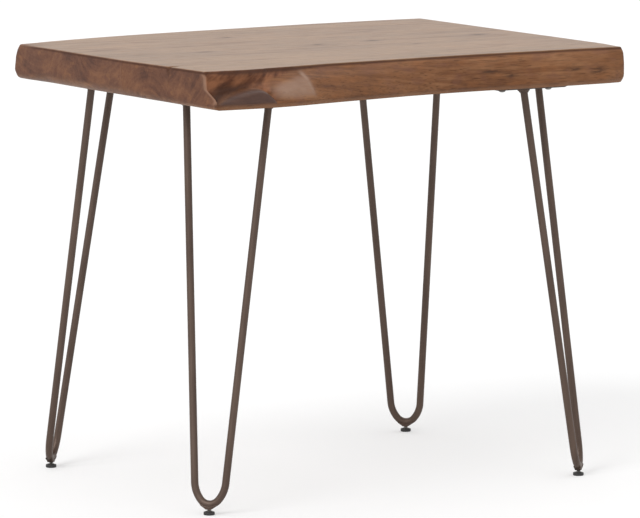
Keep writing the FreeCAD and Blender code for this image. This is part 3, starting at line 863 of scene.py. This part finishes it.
LEG_PLACE, UNDERSIDE = Vector((230 * MM, 153 * MM, 0)), 513 * MM
PLATE_THICKNESS = 4 * MM
BAR_RADIUS, BAR_SPREAD, BAR_SIDES = 4.75 * MM, 54 * MM, 28
BEND_RADIUS, BEND_TURN, SHOULDER_RADIUS, BEND_DROP = 15 * MM, math.radians(50), 38 * MM, 489.4 * MM
LEAN = math.radians(7.9)
TURNED = {"front_left": math.radians(-4.5)}
BORE_RADIUS, BORE_TOP = 2.55 * MM, 15 * MM
BEND_STEPS, SHOULDER_STEPS, RUN_SHARES = 14, 16, (0.02, 0.25, 0.5, 0.75, 1.0)
RIPPLE_TURN, TAPER_POWER = 2.1, 8
WELD_RADIUS, WELD_RIPPLE, WELD_POINTS = 2.2 * MM, 0.16, 48
WELD_PASSES = ((1.0 * MM, 5.8 * MM), (3.2 * MM, 4.0 * MM))
BOSS_HALF, BOSS_LAP = 4 * MM, 0.4 * MM
SEAM_RADIUS, SEAM_HALF, SEAM_STEPS = 1.1 * MM, 11.2 * MM, 20


def leg_axes(corner):
    """A leg's top, its outward direction, the direction across it, and the way down its leaning plane."""
    signs = CORNERS[corner]
    facing = math.atan2(signs[1], signs[0]) + TURNED.get(corner, 0)
    outward = Vector((math.cos(facing), math.sin(facing), 0))
    top = Vector((signs[0] * LEG_PLACE.x, signs[1] * LEG_PLACE.y, UNDERSIDE))
    down = outward * math.sin(LEAN) - Vector((0, 0, math.cos(LEAN)))
    return top, outward, Vector((-outward.y, outward.x, 0)), down


def arc(centre, radius, start, end, steps):
    """Points of an arc in the leg's plane, by angle from straight down."""
    turns = [start + (end - start) * number / steps for number in range(steps + 1)]
    return [(centre[0] + radius * math.sin(turn), centre[1] + radius * math.cos(turn)) for turn in turns]


def bar_line():
    """The bar's middle line in its own plane, across and down: two runs, two shoulders and a tight bend."""
    offset = SHOULDER_RADIUS - BEND_RADIUS
    centre = (-offset * math.sin(BEND_TURN), BEND_DROP - offset * math.cos(BEND_TURN))
    reach = math.hypot(BAR_SPREAD - centre[0], centre[1])
    slope = math.atan2(BAR_SPREAD - centre[0], centre[1]) - math.asin(SHOULDER_RADIUS / reach)
    half = arc((0, BEND_DROP), BEND_RADIUS, 0, BEND_TURN, BEND_STEPS)
    half += arc(centre, SHOULDER_RADIUS, BEND_TURN, math.pi / 2 - slope, SHOULDER_STEPS)[1:]
    start = 0.5 * PLATE_THICKNESS / math.cos(LEAN)
    end = (BAR_SPREAD - (BAR_SPREAD - half[-1][0]) * start / half[-1][1], start)
    run = [(half[-1][0] + (end[0] - half[-1][0]) * share, half[-1][1] + (end[1] - half[-1][1]) * share)
           for share in RUN_SHARES]
    right = half + run
    return [(-across, down) for across, down in reversed(right[1:])] + right


def foot_place(corner):
    """The middle of a foot, on the floor."""
    low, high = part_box("foot_pad_" + corner)
    return Vector((*middle_of((low.xy, high.xy)), 0))


def moved(shape, place):
    """Shift a bmesh to its place."""
    bmesh.ops.translate(shape, verts=shape.verts, vec=place)
    return shape


def make_hairpins(bronze):
    """Each leg's bar, bent to a point and bored for its stud."""
    tree = sweep_tree(bronze)
    for corner in CORNERS:
        top, _, across, down = leg_axes(corner)
        path = [top + across * side + down * drop for side, drop in bar_line()]
        bar = path_mesh(tree, [path], False, {"Radius": BAR_RADIUS, "Ripple": 0.0, "Sides": BAR_SIDES})
        bore = rod(BORE_RADIUS, 0, BORE_TOP, BAR_SIDES)
        cutter = close_mesh(moved(bore, foot_place(corner)), "stud_bore")
        new_piece("bar_" + corner, drilled(bar, cutter, "bar_" + corner), "table", "bronze_steel", bronze,
                  "hairpin_" + corner)


def make_welds(bronze):
    """Weld round the top of every bar, and along both sides of the bosses under the bends."""
    tree = sweep_tree(bronze)
    rings, seams = [], []
    for corner in CORNERS:
        top, outward, across, down = leg_axes(corner)
        turns = [math.tau * number / WELD_POINTS for number in range(WELD_POINTS)]
        for side in (-1, 1):
            for drop, wide in WELD_PASSES:
                centre = top + across * side * BAR_SPREAD + down * ((PLATE_THICKNESS + drop) / math.cos(LEAN))
                rings.append([centre + Vector((math.cos(turn), math.sin(turn), 0)) * wide for turn in turns])
            seams.append(boss_seam(corner, outward * side, across))
    weld = path_mesh(tree, rings, True, {"Radius": WELD_RADIUS, "Ripple": WELD_RIPPLE, "Sides": 10})
    new_piece("bar_top_welds", weld, "table", "bronze_steel", bronze)
    bead = path_mesh(tree, seams, False, {"Radius": SEAM_RADIUS, "Ripple": WELD_RIPPLE, "Taper": 0.5,
                                          "Sides": 8})
    new_piece("boss_welds", bead, "table", "bronze_steel", bronze)


def boss_seam(corner, outward, across):
    """The line where one side of a boss meets the bar over it."""
    bend_height = UNDERSIDE - BEND_DROP * math.cos(LEAN)
    inset = math.sqrt(BAR_RADIUS ** 2 - (BOSS_HALF - BOSS_LAP) ** 2)
    reach = BEND_RADIUS + inset
    sides = [SEAM_HALF * (2 * number / SEAM_STEPS - 1) for number in range(SEAM_STEPS + 1)]
    return [foot_place(corner) + outward * BOSS_HALF + across * side
            + Vector((0, 0, bend_height - math.sqrt(reach ** 2 - side ** 2))) for side in sides]


# Screws and levelling feet

SCREW_HEAD, SCREW_CROWN, SCREW_SHANK = 4.6 * MM, 3.2 * MM, 2.25 * MM
SCREW_LENGTH, SCREW_POINT, SCREW_RIM, SCREW_SIDES = 32 * MM, 6 * MM, 0.2 * MM, 28
SLOT_LONG, SLOT_WIDE, SLOT_DEEP = 5.2 * MM, 1.1 * MM, 1.7 * MM
STUD_CORE, STUD_LOW, STUD_HIGH, PITCH, RIDGE = 2.1 * MM, 1.5 * MM, 13.4 * MM, 0.8 * MM, 0.33 * MM
STUD_SIDES, THREAD_STEPS = 24, 20
COLLAR_HALF, COLLAR_LOW, COLLAR_HIGH, COLLAR_TRIM = 3.25 * MM, 4.05 * MM, 5.15 * MM, 0.25 * MM
PAD_RADIUS, PAD_HEIGHT, PAD_ROUND, PAD_FLOOR, PAD_SIDES = 7 * MM, 4 * MM, 1.1 * MM, 1.4 * MM, 40
METAL_CRISP, PAD_CRISP = math.radians(35), math.radians(50)


def cross_recess():
    """The cross-shaped hollow in a screw's head."""
    long, wide = SLOT_LONG / 2, SLOT_WIDE / 2
    outline = []
    for quarter in range(4):
        turn = Matrix.Rotation(quarter * math.pi / 2, 2)
        outline += [turn @ Vector(corner) for corner in ((long, -wide), (long, wide), (wide, wide))]
    shape = bmesh.new()
    low, high = ([shape.verts.new((*corner, depth - SCREW_CROWN)) for corner in outline]
                 for depth in (-SLOT_DEEP, SLOT_DEEP))
    for ring in (low, high):
        shape.faces.new(ring)
    bridge(shape, low, high)
    return close_mesh(shape, "screw_recess")


def wood_screw():
    """A pan-head screw with a cross recess, pointing up from its head's flat underside."""
    dome = rounded((0, -SCREW_CROWN), (SCREW_HEAD, -SCREW_CROWN), (SCREW_HEAD, -SCREW_RIM), 7)
    shank = [(SCREW_HEAD - 0.15 * MM, 0), (SCREW_SHANK, 0), (SCREW_SHANK, SCREW_LENGTH - SCREW_POINT),
             (0, SCREW_LENGTH)]
    body = close_mesh(lathe(dome + shank, SCREW_SIDES), "screw_body")
    mesh = drilled(body, cross_recess(), "wood_screw")
    sharp = bmesh.new()
    sharp.from_mesh(mesh)
    keep_sharp(sharp, METAL_CRISP)
    sharp.to_mesh(mesh)
    sharp.free()
    return mesh


def head_places(node):
    """The middle of each screw of a plate, on the plate's underside, from the solids."""
    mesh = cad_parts[node].data
    groups = {}
    for vertex in mesh.vertices:
        if vertex.co.z < UNDERSIDE - PLATE_THICKNESS - MM:
            near = next((key for key in groups if (Vector(key) - vertex.co.xy).length < 4 * SCREW_HEAD), None)
            groups.setdefault(near or tuple(vertex.co.xy), []).append(vertex.co.xy)
    return [(*middle_of(points), UNDERSIDE - PLATE_THICKNESS) for points in groups.values()]


def middle_of(points):
    """The middle of the box round some points."""
    return Vector([(min(values) + max(values)) / 2 for values in zip(*points)])


def make_screws(zinc):
    """Five screws in every plate."""
    screw = add_object("one_screw", wood_screw())
    tree = screw_tree(zinc)
    for number, corner in enumerate(CORNERS):
        node = "plate_screws_" + corner
        mesh = grow(tree, head_places(node), {"Screw": screw, "Seed": number})
        new_piece("screws_" + corner, mesh, "table", "dark_zinc", zinc, node)
    bpy.data.objects.remove(screw)


def make_feet(zinc, plastic):
    """The threaded studs with their hexagon collars, and the turned pads they stand in."""
    tree = sweep_tree(zinc)
    turns = (STUD_HIGH - STUD_LOW - 2 * RIDGE) / PITCH
    steps = int(turns * THREAD_STEPS)
    for corner in CORNERS:
        foot = foot_place(corner)
        helix = []
        for number in range(steps + 1):
            turn = math.tau * turns * number / steps
            helix.append(foot + Vector((STUD_CORE * math.cos(turn), STUD_CORE * math.sin(turn),
                                        STUD_LOW + RIDGE + PITCH * turn / math.tau)))
        thread = path_mesh(tree, [helix], False, {"Radius": RIDGE, "Ripple": 0.0, "Sides": 6})
        stud = moved(rod(STUD_CORE, STUD_LOW, STUD_HIGH, STUD_SIDES), foot)
        wide, trim = COLLAR_HALF / math.cos(math.pi / 6), COLLAR_TRIM
        collar = lathe([(0, COLLAR_LOW), (wide - trim, COLLAR_LOW), (wide, COLLAR_LOW + trim),
                        (wide, COLLAR_HIGH - trim), (wide - trim, COLLAR_HIGH), (0, COLLAR_HIGH)], 6)
        spin = Matrix.Rotation(math.pi / 6, 3, "Z")
        bmesh.ops.rotate(collar, verts=collar.verts, cent=(0, 0, 0), matrix=spin)
        for part in (close_mesh(moved(collar, foot), "stud_collar"), thread):
            stud.from_mesh(part)
        keep_sharp(stud, METAL_CRISP)
        new_piece("stud_" + corner, close_mesh(stud, "stud_" + corner), "stud_" + corner, "dark_zinc", zinc,
                  "leveller_stud_" + corner)
        rim, top, soft = PAD_RADIUS, PAD_HEIGHT, PAD_ROUND
        profile = [(0, 0), *rounded((rim - soft, 0), (rim, 0), (rim, soft)),
                   *rounded((rim, top - soft), (rim, top), (rim - soft, top)),
                   (BORE_RADIUS, top), (BORE_RADIUS, PAD_FLOOR), (0, PAD_FLOOR)]
        pad = moved(lathe(profile, PAD_SIDES), foot)
        keep_sharp(pad, PAD_CRISP)
        new_piece("pad_" + corner, close_mesh(pad, "pad_" + corner), "pad_" + corner, "foot_plastic", plastic,
                  "foot_pad_" + corner)


# The plates

PLATE_EASE, EASED_OVER = 0.6 * MM, math.radians(40)


def make_plates(bronze):
    """The mounting plates, with their cut edges eased."""
    for corner in CORNERS:
        node = "mounting_plate_" + corner
        shape = bmesh.new()
        shape.from_mesh(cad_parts[node].data)
        bmesh.ops.remove_doubles(shape, verts=shape.verts, dist=0.01 * MM)
        bmesh.ops.dissolve_limit(shape, angle_limit=math.radians(2), verts=shape.verts, edges=shape.edges)
        corners = [edge for edge in shape.edges if edge.calc_face_angle(0) > EASED_OVER]
        bmesh.ops.bevel(shape, geom=corners, offset=PLATE_EASE, segments=2, affect="EDGES",
                        clamp_overlap=True)
        plate = close_mesh(shape, "plate_" + corner)
        new_piece("plate_" + corner, plate, "table", "bronze_steel", bronze, node)


# The studio

FLOOR_REACH = 20.0
FLOOR_SHADE, FLOOR_GLOW = 0.62, 0.36
SKY_LOW, SKY_HIGH = 0.45, 1.1
LAMP_FROM = Vector((-0.72, -0.30, 0.62))


def ray(wire, kind):
    """1 for rays of one kind."""
    return wire.node("ShaderNodeLightPath", output=f"Is {kind} Ray")


def make_studio():
    """A pale floor, a white surround that lights most from above, and one broad soft lamp on the left."""
    floor_mesh = bpy.data.meshes.new("studio_floor")
    corners = [(x * FLOOR_REACH, y * FLOOR_REACH, 0) for x, y in ((-1, -1), (1, -1), (1, 1), (-1, 1))]
    floor_mesh.from_pydata(corners, [], [(0, 1, 2, 3)])
    floor = add_object("studio_floor", floor_mesh)
    material, shader, wire, _ = new_material("studio_floor")
    seen = ray(wire, "Camera").most(ray(wire, "Glossy"))
    dress(wire, shader, Base_Color=(FLOOR_SHADE, FLOOR_SHADE, FLOOR_SHADE, 1), Roughness=0.9,
          Specular_IOR_Level=0.1, Emission_Strength=1, Emission_Color=seen * FLOOR_GLOW)
    cover(floor_mesh, material)

    world = bpy.data.worlds.new("studio_surround")
    bpy.context.scene.world = world
    world.use_nodes = True
    wire = Wire(world.node_tree)
    shown = ray(wire, "Camera").most(ray(wire, "Glossy")).most(ray(wire, "Transmission"))
    height = axes(wire.node("ShaderNodeTexCoord", output="Generated"))[2]
    light = SKY_LOW + height.step(0.0, 1.0) * (SKY_HIGH - SKY_LOW)
    background = world.node_tree.nodes["Background"]
    background.inputs["Strength"].default_value = 1
    wire.feed(background.inputs["Color"], light + shown * (1 - light))

    lamp = bpy.data.lights.new("soft_lamp", "SUN")
    lamp.energy = 1.3
    lamp.angle = math.radians(30)
    add_object("soft_lamp", lamp).rotation_euler = LAMP_FROM.to_track_quat("Z", "Y").to_euler()
    bpy.context.scene.view_settings.view_transform = "Standard"


def photo_camera():
    """The camera at the photograph's place and angle."""
    level = math.cos(CAMERA_PITCH)
    forward = Vector((math.sin(CAMERA_YAW) * level, math.cos(CAMERA_YAW) * level, -math.sin(CAMERA_PITCH)))
    right = Vector((math.cos(CAMERA_YAW), -math.sin(CAMERA_YAW), 0))
    down = forward.cross(right)
    turned_right = right * math.cos(CAMERA_ROLL) + down * math.sin(CAMERA_ROLL)
    turned_down = down * math.cos(CAMERA_ROLL) - right * math.sin(CAMERA_ROLL)
    lens = bpy.data.cameras.new("photo_camera")
    lens.sensor_fit = "HORIZONTAL"
    lens.sensor_width = SENSOR
    lens.lens = FOCAL_PIXELS / PHOTO_WIDTH * SENSOR
    lens.clip_end = 100
    camera = add_object("photo_camera", lens)
    turn = Matrix((turned_right, -turned_down, -forward)).transposed().to_4x4()
    camera.matrix_world = Matrix.Translation(CAMERA_PLACE) @ turn
    bpy.context.scene.camera = camera


make_studio()
photo_camera()
make_boards()
bronze, zinc, plastic = bronze_paint(), dull_zinc(), foot_plastic()
make_plates(bronze)
make_hairpins(bronze)
make_welds(bronze)
make_screws(zinc)
make_feet(zinc, plastic)
for corner in CORNERS:
    cover(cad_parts["leveller_boss_" + corner].data, bronze)
